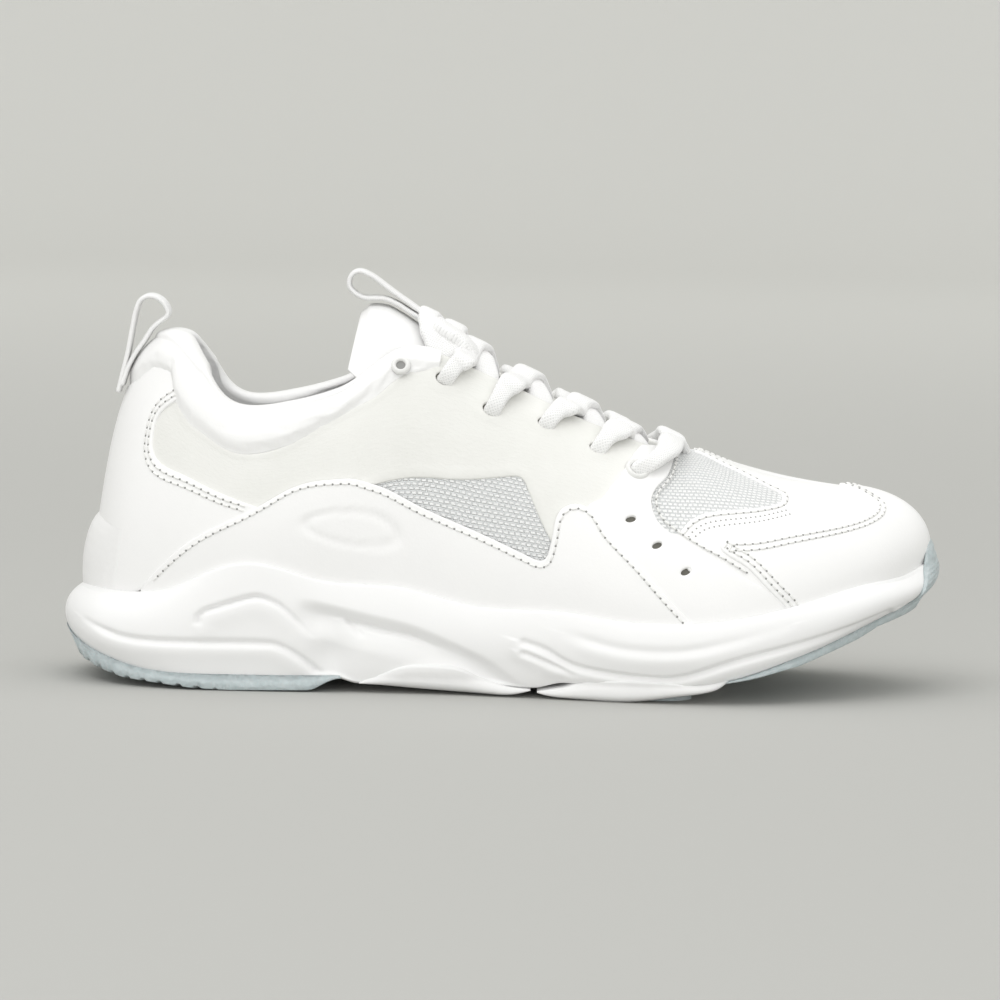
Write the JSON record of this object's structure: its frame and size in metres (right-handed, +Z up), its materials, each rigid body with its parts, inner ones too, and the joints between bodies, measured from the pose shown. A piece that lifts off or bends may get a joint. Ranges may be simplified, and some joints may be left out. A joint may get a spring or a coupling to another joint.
{
  "type": "low-cut training and cheer shoe",
  "caption": "Right low-cut cheer and training shoe with a thick sculpted sole, layered upper, padded collar, laced tongue and heel and tongue pull loops.",
  "frame": {"origin": "centre of the flat contact face of the heel tread, on the ground", "axes": "+X towards the toe along the sole, -Y towards the outer (lateral) side, +Z up"},
  "size_m": [0.2847, 0.1004, 0.1334],
  "materials": {
    "midsole_foam": "smooth moulded foam",
    "outsole_rubber": "matte translucent rubber",
    "tread_rubber": "matte rubber",
    "heel_cup_plastic": "matte",
    "board": "non-woven",
    "shank_plastic": "matte",
    "sockliner_textile": "knit-faced foam",
    "stiffener": "matte",
    "lining_textile": "fine knit",
    "padded_cover": "smooth",
    "padding": "open-cell foam",
    "mesh_knit": "coarse knit",
    "side_film": "finely embossed",
    "overlay_synthetic": "smooth grain",
    "lace_cord": "woven",
    "webbing": "ribbed webbing",
    "eyelet_plastic": "satin"
  },
  "bodies": {
    "shoe": {"midsole": "midsole_foam", "heel_outsole": "outsole_rubber", "toe_outsole": "outsole_rubber", "toe_bumper": "outsole_rubber", "heel_tread": "tread_rubber", "forefoot_tread": "tread_rubber", "midfoot_pod": "midsole_foam", "forefoot_pod": "midsole_foam", "heel_cup": "heel_cup_plastic", "strobel_board": "board", "shank": "shank_plastic", "sockliner": "sockliner_textile", "toe_puff": "stiffener", "heel_counter": "stiffener", "vamp_lining": "lining_textile", "quarter_lining_lateral": "lining_textile", "quarter_lining_medial": "lining_textile", "heel_lining": "lining_textile", "vamp_mesh": "mesh_knit", "quarter_mesh_lateral": "mesh_knit", "quarter_mesh_medial": "mesh_knit", "side_film_lateral": "side_film", "side_film_medial": "side_film", "eyestay_lateral": "side_film", "eyestay_medial": "side_film", "quarter_overlay_lateral": "overlay_synthetic", "quarter_overlay_medial": "overlay_synthetic", "heel_overlay": "overlay_synthetic", "strap_lateral": "overlay_synthetic", "strap_medial": "overlay_synthetic", "mudguard": "overlay_synthetic", "toe_overlay": "overlay_synthetic", "collar_foam": "padding", "collar_cover": "padded_cover", "eyelets": "eyelet_plastic", "lace": "lace_cord"},
    "tongue": {"tongue_cover": "padded_cover", "tongue_foam": "padding", "tongue_lining": "lining_textile"},
    "tongue_pull": {"tongue_loop": "webbing"},
    "heel_pull": {"heel_loop": "webbing"}
  },
  "joints": [
    {"name": "tongue_fold", "type": "hinge", "parent": "shoe", "child": "tongue", "pos_m": [0.1315, 0, 0.071], "axis": [0, -1, 0], "range_deg": [0, 4]},
    {"name": "tongue_pull_fold", "type": "hinge", "parent": "tongue", "child": "tongue_pull", "pos_m": [0.0505, 0, 0.117], "axis": [0, 1, 0], "range_deg": [0, 40]},
    {"name": "heel_pull_fold", "type": "hinge", "parent": "shoe", "child": "heel_pull", "pos_m": [-0.0495, 0, 0.0915], "axis": [0, -1, 0], "range_deg": [0, 60]}
  ]
}
